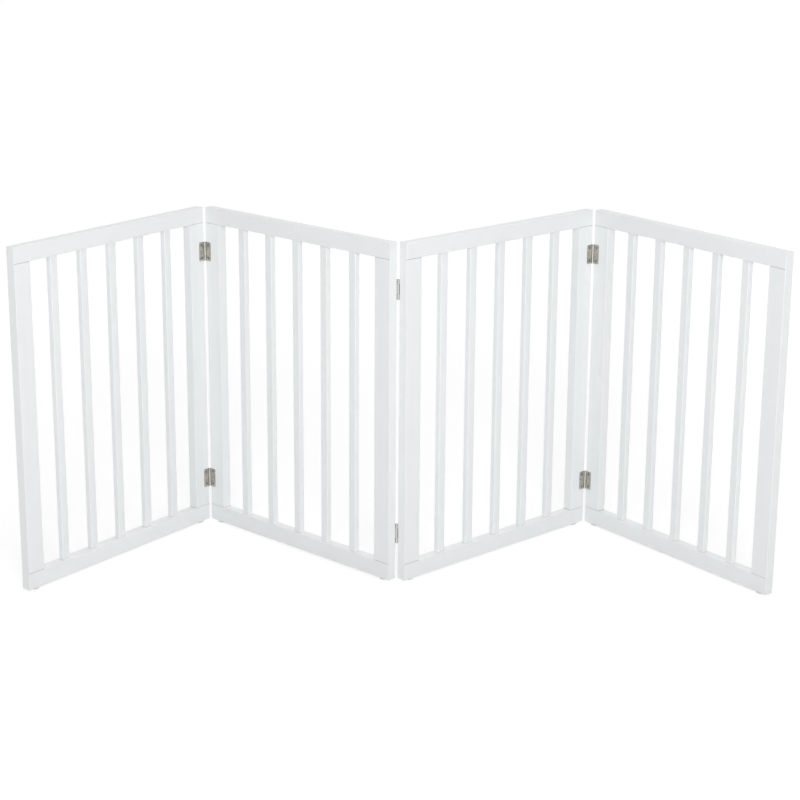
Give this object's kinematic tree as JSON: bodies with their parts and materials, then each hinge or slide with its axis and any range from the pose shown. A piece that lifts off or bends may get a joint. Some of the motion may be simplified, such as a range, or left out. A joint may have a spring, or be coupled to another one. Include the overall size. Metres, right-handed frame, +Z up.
{
  "type": "folding pet gate",
  "caption": "Free-standing folding gate of hinged wooden panels with upright bars, standing in a zigzag on the floor to keep a pet in or out.",
  "frame": {"origin": "on the floor, under the middle of the gate's outline as it stands in its zigzag", "axes": "+X runs to the right along the gate, +Y to its back and +Z up. Seen from the front (-Y), panel 1 is on the left and the middle fold points at the viewer."},
  "size_m": [1.3054, 0.397, 0.61],
  "materials": {
    "white_paint": "white satin paint over smooth wood",
    "hinge_nickel": "dull nickel plating",
    "screw_steel": "dull nickel plating",
    "foot_plastic": "pale grey, slightly glossy"
  },
  "bodies": {
    "panel_1": {"panel_1_top_rail": "white_paint", "panel_1_bottom_rail": "white_paint", "panel_1_left_stile": "white_paint", "panel_1_right_stile": "white_paint", "panel_1_bar_1": "white_paint", "panel_1_bar_2": "white_paint", "panel_1_bar_3": "white_paint", "panel_1_bar_4": "white_paint", "panel_1_bar_5": "white_paint", "panel_1_feet": "foot_plastic", "panel_1_hinge_screws": "screw_steel", "fold_1_lower_left_leaf": "hinge_nickel", "fold_1_upper_left_leaf": "hinge_nickel"},
    "panel_2": {"panel_2_top_rail": "white_paint", "panel_2_bottom_rail": "white_paint", "panel_2_left_stile": "white_paint", "panel_2_right_stile": "white_paint", "panel_2_bar_1": "white_paint", "panel_2_bar_2": "white_paint", "panel_2_bar_3": "white_paint", "panel_2_bar_4": "white_paint", "panel_2_bar_5": "white_paint", "panel_2_feet": "foot_plastic", "panel_2_hinge_screws": "screw_steel", "fold_1_lower_right_leaf": "hinge_nickel", "fold_1_upper_right_leaf": "hinge_nickel", "fold_1_hinge_pins": "hinge_nickel", "fold_2_lower_left_leaf": "hinge_nickel", "fold_2_upper_left_leaf": "hinge_nickel"},
    "panel_3": {"panel_3_top_rail": "white_paint", "panel_3_bottom_rail": "white_paint", "panel_3_left_stile": "white_paint", "panel_3_right_stile": "white_paint", "panel_3_bar_1": "white_paint", "panel_3_bar_2": "white_paint", "panel_3_bar_3": "white_paint", "panel_3_bar_4": "white_paint", "panel_3_bar_5": "white_paint", "panel_3_feet": "foot_plastic", "panel_3_hinge_screws": "screw_steel", "fold_2_lower_right_leaf": "hinge_nickel", "fold_2_upper_right_leaf": "hinge_nickel", "fold_2_hinge_pins": "hinge_nickel", "fold_3_lower_left_leaf": "hinge_nickel", "fold_3_upper_left_leaf": "hinge_nickel"},
    "panel_4": {"panel_4_top_rail": "white_paint", "panel_4_bottom_rail": "white_paint", "panel_4_left_stile": "white_paint", "panel_4_right_stile": "white_paint", "panel_4_bar_1": "white_paint", "panel_4_bar_2": "white_paint", "panel_4_bar_3": "white_paint", "panel_4_bar_4": "white_paint", "panel_4_bar_5": "white_paint", "panel_4_feet": "foot_plastic", "panel_4_hinge_screws": "screw_steel", "fold_3_lower_right_leaf": "hinge_nickel", "fold_3_upper_right_leaf": "hinge_nickel", "fold_3_hinge_pins": "hinge_nickel"}
  },
  "joints": [
    {"name": "fold_1", "type": "hinge", "parent": "panel_2", "child": "panel_1", "pos_m": [-0.35899, 0.18586, 0.305], "axis": [0, 0, 1], "range_deg": [-97.3, 82.7]},
    {"name": "fold_2", "type": "hinge", "parent": "panel_2", "child": "panel_3", "pos_m": [-0.00242, -0.12469, 0.305], "axis": [0, 0, 1], "range_deg": [-86.2, 93.8]},
    {"name": "fold_3", "type": "hinge", "parent": "panel_3", "child": "panel_4", "pos_m": [0.35899, 0.18022, 0.305], "axis": [0, 0, 1], "range_deg": [-83.6, 96.4]}
  ]
}
